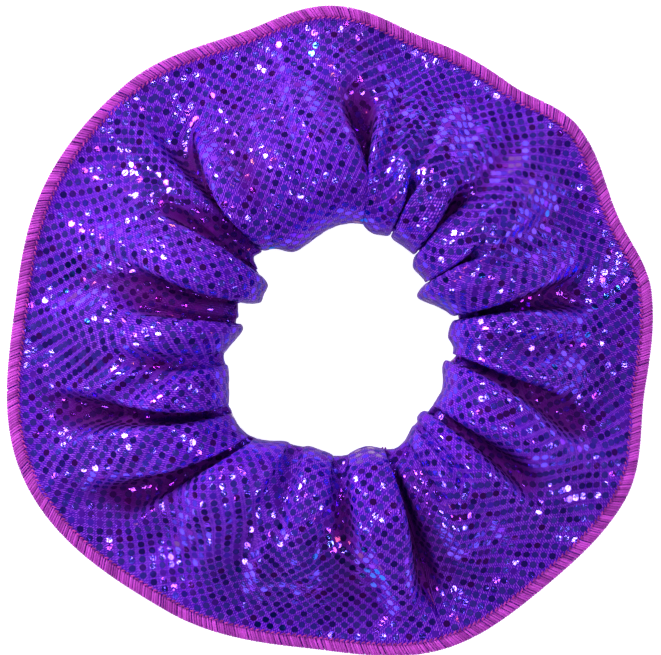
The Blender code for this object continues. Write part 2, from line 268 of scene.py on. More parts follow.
def crease_depth(points):
    """How deep the small creases are at these points of the top."""
    total = np.zeros(points.shape[:-1])
    for angle_a, radius_a, angle_b, radius_b, depth, width in CREASES:
        a, b = AXIS + polar(angle_a, radius_a), AXIS + polar(angle_b, radius_b)
        along = b - a
        share = np.clip(((points - a) @ along) / (along @ along), 0, 1)
        away = np.linalg.norm(points - (a + share[..., None] * along), axis=-1)
        total += depth * np.exp(-((away / width) ** 2)) * (0.35 + 0.65 * np.sin(np.pi * share))
    return total


def half_layer(number, half, share, top):
    """One half gather of a layer: its grid's angles, its relief, and its notches at the hole's edge."""
    rising = half["rising"]
    valley = half["from"] if rising else half["to"]
    sharp = valley.anticlockwise if rising else valley.clockwise
    grid = np.arange(half["steps"] + (number == len(HALVES) - 1)) / half["steps"]
    u = (grid if rising else 1 - grid)[None]
    table_u, table_x, table_y = fold_side(sharp if top else UNDER_SHARPNESS * sharp)
    reach = LEAST_REACH + MORE_REACH * valley.reach
    shift = (0.0 if top else UNDER_LEAN) * math.sin(number) * share
    left, right = fold_angle(half["from"], share) + shift, fold_angle(half["to"], share) + shift
    middle = (left + right) / 2
    folding = 1 - smooth((share - 0.15) / (0.75 * reach))
    x = u + (np.interp(u, table_u, table_x) - u) * folding
    y = np.interp(u, table_u, table_y)
    notch = NOTCH * valley.depth * (1 - y) * (1 - smooth(share / NOTCH_END))
    broad = smooth(u * (1.0 + 0.5 * sharp))
    y = y + (broad - y) * (1 - folding)
    angle = left + (middle - left) * x if rising else right - (right - middle) * x
    rises, ends = smooth(share / 0.045), 1 - smooth((share - 0.55 * reach) / (0.45 * reach))
    depth = (1.0 if top else UNDER_DEPTH) * valley.depth * rises * ends
    crown = half["from"].crown * smooth(share / 0.06) * (1 - smooth((share - 0.2) / 0.75))
    return angle, -depth * (1 - y) + crown * y, notch


def layer(side):
    """One layer of the sleeve, from the nose to the raw edge: (points, shares), [FINE_ROWS+1, columns]."""
    share = ((1 - np.cos(np.pi * np.linspace(0, 1, FINE_ROWS + 1))) / 2)[:, None]
    top = side > 0
    halves = [half_layer(number, half, share, top) for number, half in enumerate(HALVES)]
    angle, relief, notch = (np.concatenate(grids, 1) for grids in zip(*halves, strict=True))
    hole = turning(angle[:1], HOLE_TURNS)
    rim = turning(angle[-1:], RIM_TURNS)
    notch = np.minimum(notch, np.clip(NOTCH_LIMIT - hole, 0, None))
    flat = AXIS + polar(angle, hole + (rim - RAW_EDGE_INSET - hole) * share + notch)
    waves = ripple(angle, share, 3 if top else 5)
    height = swell(share, TOP_BULGE if top else UNDER_BULGE) + relief + waves
    if top:
        height = height - crease_depth(flat)
    height = np.maximum(height, LAYER_HALF_GAP)
    rim_z = RIM_HEIGHT + RIM_LIFT * (rim - RIM_MEAN)
    middle_z = ELASTIC_HEIGHT + (rim_z - ELASTIC_HEIGHT) * smooth(share)
    z = above_floor(middle_z + side * height)
    points = np.concatenate([flat, z[..., None]], -1)
    return points, np.broadcast_to(share, z.shape)


def above_floor(z):
    """Heights eased off where they near the surface below, so that none passes through it."""
    easing = 1.2
    eased = FLOOR + (easing - FLOOR) * np.exp(np.clip(z - easing, -30, 0) / (easing - FLOOR))
    return np.where(z < easing, eased, z)


def even_rows(points, shares):
    """A layer's columns resampled at even lengths of cloth."""
    steps = np.linalg.norm(np.diff(points, axis=0), axis=-1)
    length = np.concatenate([np.zeros((1, points.shape[1])), np.cumsum(steps, 0)])
    wanted = np.linspace(0, 1, ROWS // 2 + 1)
    out = np.zeros((len(wanted), points.shape[1], 4))
    for column in range(points.shape[1]):
        at = length[:, column] / length[-1, column]
        for k in range(3):
            out[:, column, k] = np.interp(wanted, at, points[:, column, k])
        out[:, column, 3] = np.interp(wanted, at, shares[:, column])
    return out


def relaxed(points, rounds):
    """The grid smoothed a little, with its raw edges and its closing seam kept together."""
    for _ in range(rounds):
        around = points.copy()
        around[:, 1:-1] = (points[:, :-2] + points[:, 2:]) / 2
        seam = (points[:, 1] + points[:, -2]) / 2
        around[:, 0] = seam
        around[:, -1] = seam
        across = points.copy()
        across[1:-1] = (points[:-2] + points[2:]) / 2
        moved = points + 0.5 * ((around + across) / 2 - points)
        moved[:3], moved[-3:] = points[:3], points[-3:]
        points = moved
    return points


def clear_of_elastic(points):
    """The grid kept off the elastic loop: the top layer over it, the other one under it."""
    rows, columns = points.shape[:2]
    side = np.sign(np.arange(rows) - rows // 2)[:, None]
    from_seam = np.minimum(np.arange(columns), np.arange(columns)[::-1]) / COLUMNS * 360
    clearance = ELASTIC_CLEARANCE + SEAM_CLEARANCE * np.exp(-((from_seam / SEAM_SPREAD) ** 2))
    away = np.linalg.norm(points[..., :2] - LOOP_CENTRE, axis=-1) - (LOOP_RADIUS + LOOP_RISE / 2)
    over = side * (points[..., 2] - ELASTIC_HEIGHT)
    dome = np.sqrt(np.clip(1 - (np.abs(away) / CLEARED_HALF_WIDTH) ** 4, 0, 1))
    lifted = np.where(dome > 0, np.maximum(over, clearance * dome), over)
    points[..., 2] = ELASTIC_HEIGHT + side * lifted
    return points


def sleeve_grid():
    """(points [ROWS+1, columns], shares): the whole sleeve, from the under raw edge to the top raw edge."""
    top, under = even_rows(*layer(1.0)), even_rows(*layer(-1.0))
    nose = (top[:1] + under[:1]) / 2
    both = np.concatenate([under[:0:-1], nose, top[1:]])
    points = clear_of_elastic(relaxed(both[..., :3], 3))
    return points, both[..., 3]


def grid_normals(points):
    along = np.gradient(points, axis=1)
    along[:, 0] = along[:, -1] = points[:, 1] - points[:, -2]
    across = np.gradient(points, axis=0)
    normal = np.cross(along, across)
    return -normal / np.maximum(np.linalg.norm(normal, axis=-1, keepdims=True), 1e-9)


def highest_near(values, reach):
    return np.max([np.roll(values, shift, 1) for shift in range(-reach, reach)], 0)


def mean_near(values, reach):
    return np.mean([np.roll(values, shift, 1) for shift in range(-reach, reach)], 0)


def painted_fold_shade_at(points):
    """How far down between the gathers each grid point lies, 0 on a crest and 1 deep in a fold, and up to 0.9
    on the nose beside the hole: where the materials paint shade.
    """
    height = np.abs(points[..., 2] - ELASTIC_HEIGHT)
    crest = mean_near(highest_near(height, TUCK_REACH), TUCK_BLUR)
    nose = smooth(1 - np.abs(np.linspace(-1, 1, ROWS + 1)) / NOSE_SHARE)[:, None]
    return np.maximum(smooth((crest - height - 1.0) / 5.0), 0.9 * nose)


def cloth_places(points, shares):
    """For each half gather, where each grid point lies on the flat strip, in millimetres: [(u, v)].
    Cloth is measured from the crown of its gather, so what a fold swallows is missing at the fold."""
    places = []
    steps = np.linalg.norm(np.diff(points, axis=1), axis=-1)
    half_width = STRIP_WIDTH / MM / 2
    v = np.broadcast_to(np.linspace(-half_width, half_width, ROWS + 1)[:, None], points.shape[:2])
    start = 0.0
    for half in HALVES:
        first, last = half["first"], half["first"] + half["steps"]
        width = half["span"] / 360 * STRIP_LENGTH / MM
        run = steps[:, first:last]
        length = run.sum(1, keepdims=True)
        if half["rising"]:
            valley, back = half["from"], np.cumsum(run[:, ::-1], 1)[:, ::-1]
            from_crown = np.concatenate([back, np.zeros((ROWS + 1, 1))], 1)
        else:
            valley = half["to"]
            from_crown = np.concatenate([np.zeros((ROWS + 1, 1)), np.cumsum(run, 1)], 1)
        crown = start + width if half["rising"] else start
        fitted = smooth((shares[:, first:first + 1] - 0.75 * valley.reach) / (0.35 * valley.reach))
        scale = 1 + fitted * (width / length - 1)
        u = crown + from_crown * scale * (-1 if half["rising"] else 1)
        places.append((u, v[:, first:last + 1]))
        start += width
    return places


def sample(grid, row, column):
    """The grid read at fractional rows and columns."""
    row = np.clip(row, 0, grid.shape[0] - 1.001)
    column = np.clip(column, 0, grid.shape[1] - 1.001)
    r, c = row.astype(int), column.astype(int)
    fr, fc = (row - r)[..., None], (column - c)[..., None]
    near = grid[r, c] * (1 - fc) + grid[r, c + 1] * fc
    far = grid[r + 1, c] * (1 - fc) + grid[r + 1, c + 1] * fc
    return near * (1 - fr) + far * fr


def triangle_shares(a, b, c, u, v):
    """Where (u, v) lies in the triangles a, b, c: its shares of the sides a to b and a to c."""
    (ax, ay), (bx, by), (cx, cy) = a, b, c
    area = (bx - ax) * (cy - ay) - (cx - ax) * (by - ay)
    area = np.where(np.abs(area) < 1e-9, 1e-9, area)
    s = ((u - ax) * (cy - ay) - (cx - ax) * (v - ay)) / area
    t = ((bx - ax) * (v - ay) - (u - ax) * (by - ay)) / area
    return s, t


def dot_centres(places):
    """Fractional (rows, columns) of the lattice points that lie on each half gather."""
    cell = DOT_PITCH * math.sqrt(2)
    low, high = np.s_[:-1], np.s_[1:]
    rows, columns = [], []
    for half, (u, v) in zip(HALVES, places, strict=True):
        corners = [(u[at], v[at]) for at in ((low, low), (low, high), (high, high), (high, low))]
        mid_u = sum(corner[0] for corner in corners) / 4
        mid_v = sum(corner[1] for corner in corners) / 4
        for offset in (0.0, 0.5):
            at_u = (np.round(mid_u / cell - offset) + offset) * cell
            at_v = (np.round(mid_v / cell - offset) + offset) * cell
            for first, second in ((1, 2), (2, 3)):
                s, t = triangle_shares(corners[0], corners[first], corners[second], at_u, at_v)
                hit = (s >= 0) & (t >= 0) & (s + t < 1)
                r, c = np.nonzero(hit)
                if first == 1:
                    row, column = r + t[hit], c + s[hit] + t[hit]
                else:
                    row, column = r + s[hit] + t[hit], c + s[hit]
                rows.append(row)
                columns.append(column + half["first"])
    return np.concatenate(rows), np.concatenate(columns)


def conforming(points, normals, row, column, offsets, lift):
    """Points at these millimetre offsets (along, across) from places of the grid, laid on the surface.
    Each place is found in three steps over the grid, by its slope along the rows and the columns."""
    step, furthest = 0.5, 3
    r, c = row[:, None], column[:, None]
    centre = sample(points, r, c)
    for attempt in range(3):
        along = (sample(points, r, c + step) - sample(points, r, c - step)) / (2 * step)
        across = (sample(points, r + step, c) - sample(points, r - step, c)) / (2 * step)
        if attempt == 0:
            first = along / np.linalg.norm(along, axis=-1, keepdims=True)
            normal = sample(normals, r, c)
            second = np.cross(normal, first)
            wanted = centre + first * offsets[None, :, :1] + second * offsets[None, :, 1:]
            missing = wanted - centre
        else:
            missing = wanted - sample(points, r, c)
        aa, ab, bb = (along * along).sum(-1), (along * across).sum(-1), (across * across).sum(-1)
        det = np.maximum(aa * bb - ab * ab, 1e-6)
        ma, mb = (missing * along).sum(-1), (missing * across).sum(-1)
        c = c + np.clip((ma * bb - mb * ab) / det, -furthest, furthest)
        r = r + np.clip((mb * aa - ma * ab) / det, -furthest, furthest)
    on = sample(points, r, c)
    up = sample(normals, r, c)
    up = up / np.linalg.norm(up, axis=-1, keepdims=True)
    return on + up * lift


# ---------------------------------------------------------------- pieces


def mesh_piece(name, vertices, faces, material, body):
    """A smooth mesh object from millimetre points, riding on a body."""
    data = bpy.data.meshes.new(name)
    data.from_pydata((np.asarray(vertices).reshape(-1, 3) * MM).tolist(), [], np.asarray(faces).tolist())
    data.update()
    data.shade_smooth()
    data.materials.append(material)
    made = bpy.data.objects.new(name, data)
    bpy.context.scene.collection.objects.link(made)
    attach(made, body)
    return made


def grid_faces(rows, columns, first=0, wrap_rows=False, wrap_columns=False):
    """Quads of a grid of rows by columns points, numbered row by row."""
    index = np.arange(rows * columns).reshape(rows, columns) + first
    if wrap_rows:
        index = np.concatenate([index, index[:1]])
    if wrap_columns:
        index = np.concatenate([index, index[:, :1]], 1)
    return np.stack([index[:-1, :-1], index[:-1, 1:], index[1:, 1:], index[1:, :-1]], -1).reshape(-1, 4)


def point_numbers(piece, name, values):
    """A number for each vertex, which a material reads by name."""
    piece.data.attributes.new(name, "FLOAT", "POINT").data.foreach_set("value", values)


def seam_tangent(points):
    """Unit vectors along the strip at the closing seam."""
    tangent = points[:, 1] - points[:, -2]
    return tangent / np.linalg.norm(tangent, axis=-1, keepdims=True)


def sleeve_with_ends(points, normals):
    """The sleeve's grid, opened at the closing seam, with its two short ends turned in side by side."""
    tangent = seam_tangent(points)
    across = np.abs(np.linspace(-1, 1, ROWS + 1))[:, None]
    inside = (1 - smooth((across - 0.75) / 0.2)) * smooth((across - 0.04) / 0.2)
    deep = SEAM_ALLOWANCE * inside + SEAM_LIP

    def turned(side):
        edge = points[:, 0] + side * SEAM_GAP * tangent
        return [edge - normals[:, 0] * deep * share for share in TURNED_IN]

    body = points.copy()
    body[:, 0] = points[:, 0] + SEAM_GAP * tangent
    body[:, -1] = points[:, 0] - SEAM_GAP * tangent
    return np.stack([*turned(1), *body.transpose(1, 0, 2), *reversed(turned(-1))], 1)


def strip_uv(rows, width, places):
    """Each face corner's place on the flat strip, in metres. The turned-in ends have none."""
    uv = np.zeros((rows - 1, width - 1, 4, 2))
    for half, (u, v) in zip(HALVES, places, strict=True):
        first, steps = len(TURNED_IN) + half["first"], half["steps"]
        for corner, (row, column) in enumerate(((0, 0), (0, 1), (1, 1), (1, 0))):
            here = np.s_[row:rows - 1 + row, column:steps + column]
            uv[:, first:first + steps, corner, 0] = u[here]
            uv[:, first:first + steps, corner, 1] = v[here]
    return uv.reshape(-1) * MM


def build_sleeve(points, normals, places, painted_fold_shade, material):
    """The strip of spandex, folded in two and closed to a ring."""
    grid = sleeve_with_ends(points, normals)
    rows, width = grid.shape[:2]
    sleeve = mesh_piece("spandex_sleeve", grid, grid_faces(rows, width), material, "sleeve")
    sleeve.data.uv_layers.new(name="strip").data.foreach_set("uv", strip_uv(rows, width, places))
    ends = len(TURNED_IN)
    point_numbers(sleeve, "painted_fold_shade", np.pad(painted_fold_shade, ((0, 0), (ends, ends)), "edge").reshape(-1))
    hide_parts("fabric_sleeve")
    return sleeve


def foil_chances(centres):
    """A number for each dot that picks its colour: the indigos, and over FLASHES_FROM the rainbow flashes.
    The foil diffracts light, so the flashes come in patches that share a colour."""
    x, y = centres[:, 0], centres[:, 1]
    patch = np.sin(x / 4.1 + 1.3 * np.sin(y / 7.3)) + np.sin(y / 3.7 + 1.5 * np.sin(x / 6.1))
    hue = np.sin(x / 9.0 + 2.0) + np.sin(y / 11.0 + 0.5)
    chance = RANDOM.random(len(centres)) * FLASHES_FROM
    flashing = RANDOM.random(len(centres)) < 0.02 + 0.5 * smooth((patch - 1.1) / 0.5)
    tone = np.clip(0.5 + 0.35 * hue + RANDOM.normal(0, 0.15, len(centres)), 0, 0.999)
    return np.where(flashing, 0.9651 + 0.0349 * tone, chance)


def build_dots(points, normals, places, painted_fold_shade, material):
    """Each foil dot, laid on the cloth as its own small disc."""
    row, column = dot_centres(places)
    keep = (row > BARE_ROWS) & (row < ROWS - BARE_ROWS)
    keep &= (column > BARE_COLUMNS) & (column < LAST_COLUMN - BARE_COLUMNS)
    row, column = row[keep], column[keep]
    turn = np.arange(DOT_SIDES) * 2 * np.pi / DOT_SIDES
    ring = np.stack([np.cos(turn), np.sin(turn)], -1) * DOT_RADIUS
    edge = conforming(points, normals, row, column, ring, DOT_EDGE_LIFT)
    middle = conforming(points, normals, row, column, np.zeros((1, 2)), DOT_MIDDLE_LIFT)
    size = DOT_SIDES + 1
    first = (np.arange(len(row)) * size)[:, None]
    side = np.arange(DOT_SIDES)[None]
    faces = np.stack([first + side * 0, first + 1 + side, first + 1 + (side + 1) % DOT_SIDES], -1)
    vertices = np.concatenate([middle, edge], 1)
    dots = mesh_piece("foil_dots", vertices, faces.reshape(-1, 3), material, "sleeve")
    point_numbers(dots, "chance", np.repeat(foil_chances(middle[:, 0]), size))
    point_numbers(dots, "painted_fold_shade", np.repeat(sample(painted_fold_shade[..., None], row, column)[:, 0], size))
    tilt = dots.data.attributes.new("tilt", "FLOAT_VECTOR", "POINT")
    tilt.data.foreach_set("vector", np.repeat(RANDOM.normal(0, 1, (len(row), 3)), size, 0).reshape(-1))
    return dots


def rim_places(count, shift=0.0):
    """(points on the rim's outline, unit vectors out, unit vectors along) at even distances."""
    angles = np.linspace(0, 360, 3601)
    radius = turning(angles, RIM_TURNS)
    flat = AXIS + polar(angles, radius)
    z = RIM_HEIGHT + RIM_LIFT * (radius - RIM_MEAN)
    line = np.concatenate([flat, z[:, None]], 1)
    gone = np.concatenate([[0], np.cumsum(np.linalg.norm(np.diff(line, axis=0), axis=1))])
    wanted = ((np.arange(count) + shift) / count * gone[-1]) % gone[-1]
    place = np.stack([np.interp(wanted, gone, line[:, k]) for k in range(3)], 1)
    reach = 0.3
    ahead = np.stack([np.interp((wanted + reach) % gone[-1], gone, line[:, k]) for k in range(3)], 1)
    behind = np.stack([np.interp((wanted - reach) % gone[-1], gone, line[:, k]) for k in range(3)], 1)
    along = ahead - behind
    along /= np.linalg.norm(along, axis=1, keepdims=True)
    out = np.stack([along[:, 1], -along[:, 0], np.zeros(count)], 1)
    out /= np.linalg.norm(out, axis=1, keepdims=True)
    return place, out, along


def upward(out, along):
    """Unit vectors square to the rim's plane, all of them pointing up."""
    up = np.cross(out, along)
    return up * np.sign(up[:, 2:])


def tubes(vertices, count):
    """(vertices, faces) of many short tubes, from a list of every ring's points in order."""
    sections = len(vertices) // THREAD_SIDES
    grid = np.stack(vertices, 1).reshape(-1, 3)
    size = sections * THREAD_SIDES
    faces = [grid_faces(sections, THREAD_SIDES, first=n * size, wrap_columns=True) for n in range(count)]
    return grid, np.concatenate(faces)


def looper_strands(flip, place, out, along, jitter):
    """One flat strand for each place, over the rim, or under it where flip is -1."""
    path = np.array([(inset, height * flip, lead) for inset, height, lead in LOOPER_PATH])
    up = upward(out, along)
    tangent = np.gradient(path[:, :2], axis=0)
    tangent /= np.linalg.norm(tangent, axis=1, keepdims=True)
    vertices = []
    for k, (inset, height, lead) in enumerate(path):
        centre = place - out * inset + up * (height + jitter[:, 2:]) + along * (lead + jitter[:, :1])
        face = -out * (-tangent[k, 1]) + up * tangent[k, 0]
        for angle in np.arange(THREAD_SIDES) * 2 * np.pi / THREAD_SIDES:
            wide = LOOPER_WIDTHS[k] * math.cos(angle) * (1 + jitter[:, 1:2])
            vertices.append(centre + along * wide + face * LOOPER_THICKNESSES[k] * math.sin(angle))
    return tubes(vertices, len(place))


def needle_loops(place, out, along, jitter):
    """One small loop of the needle thread for each stitch, lying along the row."""
    up = upward(out, along)
    vertices = []
    for (inset, height, lead), radius in zip(NEEDLE_PATH, NEEDLE_WIDTHS, strict=True):
        centre = place - out * (inset + jitter[:, 1:2]) + up * height + along * (lead + jitter[:, :1])
        for k in range(THREAD_SIDES):
            turn = 2 * math.pi * k / THREAD_SIDES
            vertices.append(centre + out * radius * math.cos(turn) + up * radius * math.sin(turn))
    return tubes(vertices, len(place))


def stitch_piece(name, node, geometry, count, material):
    """One row of the overlock's stitches, each with its own shade."""
    vertices, faces = geometry
    piece = mesh_piece(name, vertices, faces, material, "sleeve")
    point_numbers(piece, "chance", np.repeat(RANDOM.random(count), len(vertices) // count))
    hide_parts(node)
    return piece


def build_overlock(material, needle_material):
    """The overlock: upper looper strands over the rim, lower ones under it, and the needle's row of loops."""
    strands = STITCHES * STRANDS
    pieces = []
    for name, node, flip, shift in (
        ("upper_looper_stitches", "edge_upper_looper_thread", 1.0, 0.0),
        ("lower_looper_stitches", "edge_lower_looper_thread", -1.0, 0.5),
    ):
        jitter = RANDOM.normal(0, 1, (strands, 3)) * (0.060, 0.12, 0.035)
        geometry = looper_strands(flip, *rim_places(strands, shift), jitter)
        pieces.append(stitch_piece(name, node, geometry, strands, material))
    jitter = RANDOM.normal(0, 1, (STITCHES, 3)) * (0.03, 0.05, 0.02)
    geometry = needle_loops(*rim_places(STITCHES, 0.25), jitter)
    needle = stitch_piece("needle_stitches", "edge_needle_thread", geometry, STITCHES, needle_material)
    return [*pieces, needle]


def loop_point(step, height=0.0, outward=0.0):
    """A point by the elastic's mid-line, whose last steps climb over its first ones, as in the CAD model."""
    climbed = smooth((step - (LOOP_STEPS - 1 - LOOP_CLIMB)) / LOOP_CLIMB)
    flat = LOOP_CENTRE + polar(step * 360 / LOOP_STEPS, LOOP_RADIUS + LOOP_RISE * climbed + outward)
    return np.array([flat[0], flat[1], ELASTIC_HEIGHT + height])


def braid_section(step):
    """The braid's outline at a step round the loop: a rib over each cord."""
    ring = []
    for k in range(BRAID_SIDES):
        turn = 2 * math.pi * k / BRAID_SIDES
        height = LOOP_WIDTH / 2 * math.copysign(abs(math.cos(turn)) ** 0.8, math.cos(turn))
        rib = 0.78 + 0.22 * abs(math.cos(math.pi * height / CORD_PITCH + math.pi / 2))
        flat = math.copysign(min(1, abs(math.sin(turn)) * 2.2), math.sin(turn))
        ring.append(loop_point(step, height, LOOP_THICKNESS / 2 * rib * flat))
    return ring


def build_braid(material):
    """The flat braid, open at its two ends."""
    sections = [braid_section(step) for step in np.linspace(0, LAST_STEP, BRAID_SECTIONS)]
    faces = grid_faces(BRAID_SECTIONS, BRAID_SIDES, wrap_columns=True)
    braid = mesh_piece("braided_elastic", np.array(sections), faces, material, "elastic")
    lengths = BRAID_SECTIONS - 1
    steps = np.arange(BRAID_SECTIONS)[:, None] / lengths * LAST_STEP
    place = steps * 2 * math.pi * LOOP_RADIUS / LOOP_STEPS
    girth = np.arange(BRAID_SIDES + 1)[None] / BRAID_SIDES * 2 * LOOP_WIDTH
    uv = np.zeros((lengths, BRAID_SIDES, 4, 2))
    for corner, (row, column) in enumerate(((0, 0), (0, 1), (1, 1), (1, 0))):
        uv[:, :, corner, 0] = place[row:lengths + row]
        uv[:, :, corner, 1] = girth[:, column:BRAID_SIDES + column]
    braid.data.uv_layers.new(name="braid").data.foreach_set("uv", (uv * MM).reshape(-1))
    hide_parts("elastic_braid")
    return braid


def thread_curve(name, points, radius, material, body, node):
    """A round thread or cord through millimetre points, standing for one CAD node."""
    curve = bpy.data.curves.new(name, "CURVE")
    curve.dimensions = "3D"
    curve.bevel_depth = radius * MM
    curve.bevel_resolution = 3
    curve.use_fill_caps = True
    spline = curve.splines.new("POLY")
    spline.points.add(len(points) - 1)
    for vertex, point in zip(spline.points, points, strict=True):
        vertex.co = (*(np.asarray(point) * MM), 1.0)
    curve.materials.append(material)
    made = bpy.data.objects.new(name, curve)
    bpy.context.scene.collection.objects.link(made)
    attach(made, body)
    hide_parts(node)
    return made


def build_elastic(braid_finish, rubber_finish, thread_finish):
    """The braid, the rubber cords in it, and the zigzag over its lapped ends."""
    build_braid(braid_finish)
    for index in range(CORDS):
        height = (index - (CORDS - 1) / 2) * CORD_PITCH
        points = [loop_point(step, height) for step in np.linspace(0.5, LAST_STEP - 0.5, 4 * LAST_STEP)]
        thread_curve(f"latex_cord_{index + 1}", points, CORD_RADIUS, rubber_finish,
                     "elastic", f"rubber_cord_{index + 1}")
    for name, node, first, outward in (
        ("join_stitches_inside", "elastic_join_bobbin_thread", ZIGZAG_INSET, -ZIGZAG_OUTWARD),
        ("join_stitches_outside", "elastic_join_needle_thread", ZIGZAG_INSET + LOOP_STEPS, ZIGZAG_OUTWARD),
    ):
        points = []
        for k in np.linspace(0, ZIGZAGS, 8 * ZIGZAGS + 1):
            zig = 1 - 2 * abs((k / 2) % 1 * 2 - 1)
            step = first + (LOOP_OVERLAP - 2 * ZIGZAG_INSET) * k / ZIGZAGS
            points.append(loop_point(step, ZIGZAG_HEIGHT * zig, outward))
        thread_curve(name, points, ZIGZAG_RADIUS, thread_finish, "elastic", node)


def build_closing_seam(points, normals, material):
    """The three threads of the seam, looping along the turned-in ends inside the sleeve."""
    hem, radius = 9, 0.11  # rows left free at each cut edge, and the thread's radius
    rows = np.linspace(hem, ROWS - hem, 241)
    base, up, side = (
        sample(values[:, None].repeat(2, 1), rows, np.zeros_like(rows))
        for values in (points[:, 0], normals[:, 0], seam_tangent(points))
    )
    wave = np.arange(len(rows)) * math.pi / 2
    pieces = []
    for name, node, along, depth, swing, phase in (
        ("seam_needle_thread", "closing_seam_needle_thread", 0.28, 0.65, 0.06, 0.0),
        ("seam_upper_looper", "closing_seam_upper_looper_thread", 0.30, 1.15, 0.28, 1.0),
        ("seam_lower_looper", "closing_seam_lower_looper_thread", -0.30, 1.15, 0.28, 2.0),
    ):
        deep = depth + swing * np.sin(wave + phase)
        line = base + side * along - up * deep[:, None]
        pieces.append(thread_curve(name, line, radius, material, "sleeve", node))
    return pieces


# ---------------------------------------------------------------- materials


class Nodes:
    """A material's node tree, with short calls to add and join nodes."""

    def __init__(self, name):
        self.material = bpy.data.materials.new(name)
        self.material.use_nodes = True
        self.tree = self.material.node_tree
        self.shader = self.tree.nodes["Principled BSDF"]

    def add(self, kind, **values):
        node = self.tree.nodes.new(kind)
        for key, value in values.items():
            if hasattr(node, key):
                setattr(node, key, value)
            else:
                node.inputs[key.replace("_", " ")].default_value = value
        return node

    def join(self, source, target):
        self.tree.links.new(source, target)

    def attribute(self, name, output="Fac"):
        return self.add("ShaderNodeAttribute", attribute_name=name).outputs[output]

    def noise(self, scale, detail):
        """Noise fixed to the object."""
        node = self.add("ShaderNodeTexNoise", Scale=scale, Detail=detail)
        self.join(self.add("ShaderNodeTexCoord").outputs["Object"], node.inputs["Vector"])
        return node.outputs[0]

    def uv_places(self, name):
        """The two coordinates of a UV map, in metres."""
        split = self.add("ShaderNodeSeparateXYZ")
        self.join(self.add("ShaderNodeUVMap", uv_map=name).outputs[0], split.inputs[0])
        return split.outputs[0], split.outputs[1]

    def vector(self, operation, *sources, scale=None):
        node = self.add("ShaderNodeVectorMath", operation=operation)
        for socket, source in zip(node.inputs, sources, strict=False):
            self.join(source, socket)
        if scale is not None:
            node.inputs["Scale"].default_value = scale
        return node.outputs[0]

    def set(self, **values):
        """Values of the shader's own sockets."""
        for key, value in values.items():
            self.shader.inputs[key.replace("_", " ")].default_value = value

    def math(self, operation, a, b=None, clamp=False):
        node = self.add("ShaderNodeMath", operation=operation, use_clamp=clamp)
        for socket, value in zip(node.inputs, (a, b), strict=False):
            if isinstance(value, (int, float)):
                socket.default_value = value
            elif value is not None:
                self.join(value, socket)
        return node.outputs[0]

    def ramp(self, source, stops, interpolation="LINEAR"):
        node = self.add("ShaderNodeValToRGB")
        node.color_ramp.interpolation = interpolation
        elements = node.color_ramp.elements
        while len(elements) < len(stops):
            elements.new(0.5)
        for element, (place, colour) in zip(elements, stops, strict=True):
            element.position = place
            element.color = (*colour, 1.0)
        self.join(source, node.inputs[0])
        return node.outputs[0]

    def mix(self, share, a, b, blend="MIX"):
        node = self.add("ShaderNodeMix", data_type="RGBA", blend_type=blend)
        for socket, value in ((node.inputs[0], share), (node.inputs[6], a), (node.inputs[7], b)):
            if isinstance(value, (int, float)):
                socket.default_value = value
            elif isinstance(value, tuple):
                socket.default_value = (*value, 1.0)
            else:
                self.join(value, socket)
        return node.outputs[2]

    def bump(self, height, strength, distance):
        node = self.add("ShaderNodeBump", Strength=strength, Distance=distance)
        self.join(height, node.inputs["Height"])
        return node.outputs[0]


def knit_material():
    """Purple spandex: staggered rows of short lilac stitches on a dark ground, the lilac partly the knit's
    own lighter loops and partly a painted highlight, and painted wine-red shade in the folds and beside the
    hole.
    """
    n = Nodes("purple_spandex")
    along, across = n.uv_places("strip")
    rib_pitch, loop_pitch = 0.42 * MM, 0.80 * MM
    rib = n.math("SINE", n.math("MULTIPLY", along, 2 * math.pi / rib_pitch))
    stagger = n.math("MULTIPLY", along, math.pi / rib_pitch)
    loop = n.math("SINE", n.math("ADD", n.math("MULTIPLY", across, 2 * math.pi / loop_pitch), stagger))
    height = n.math("ADD", rib, n.math("MULTIPLY", loop, 0.7))
    # The lilac lines are the knit's lighter loops with a painted highlight on them.
    line = n.math("ADD", n.math("MULTIPLY", height, 0.26), n.noise(1400.0, 2.0))
    glint = n.ramp(line, ((0.60, (0.0, 0.0, 0.0)), (0.70, (1.0, 1.0, 1.0))))
    base = n.ramp(n.noise(70.0, 3.0), ((0.3, (0.060, 0.001, 0.38)), (0.7, (0.120, 0.001, 0.70))))
    painted_fold_shade = n.attribute("painted_fold_shade")
    # Painted shade: the cloth's colour goes towards dark wine deep in the folds and beside the hole, where it
    # lies in shade.
    shaded = n.mix(n.math("MULTIPLY", painted_fold_shade, 0.85), base, (0.12, 0.002, 0.16))
    # The painted lilac highlight is left out where that painted shade lies.
    strength = n.math("MULTIPLY", n.math("SUBTRACT", 1.0, painted_fold_shade), 0.85)
    colour = n.mix(n.math("MULTIPLY", glint, strength), shaded, (0.46, 0.070, 0.95))
    n.join(colour, n.shader.inputs["Base Color"])
    n.set(Roughness=0.45, Specular_IOR_Level=0.10)
    n.set(Sheen_Weight=0.03, Sheen_Roughness=0.4, Sheen_Tint=(0.6, 0.4, 1.0, 1.0))
    n.join(n.bump(height, 0.8, 0.07 * MM), n.shader.inputs["Normal"])
    return n.material


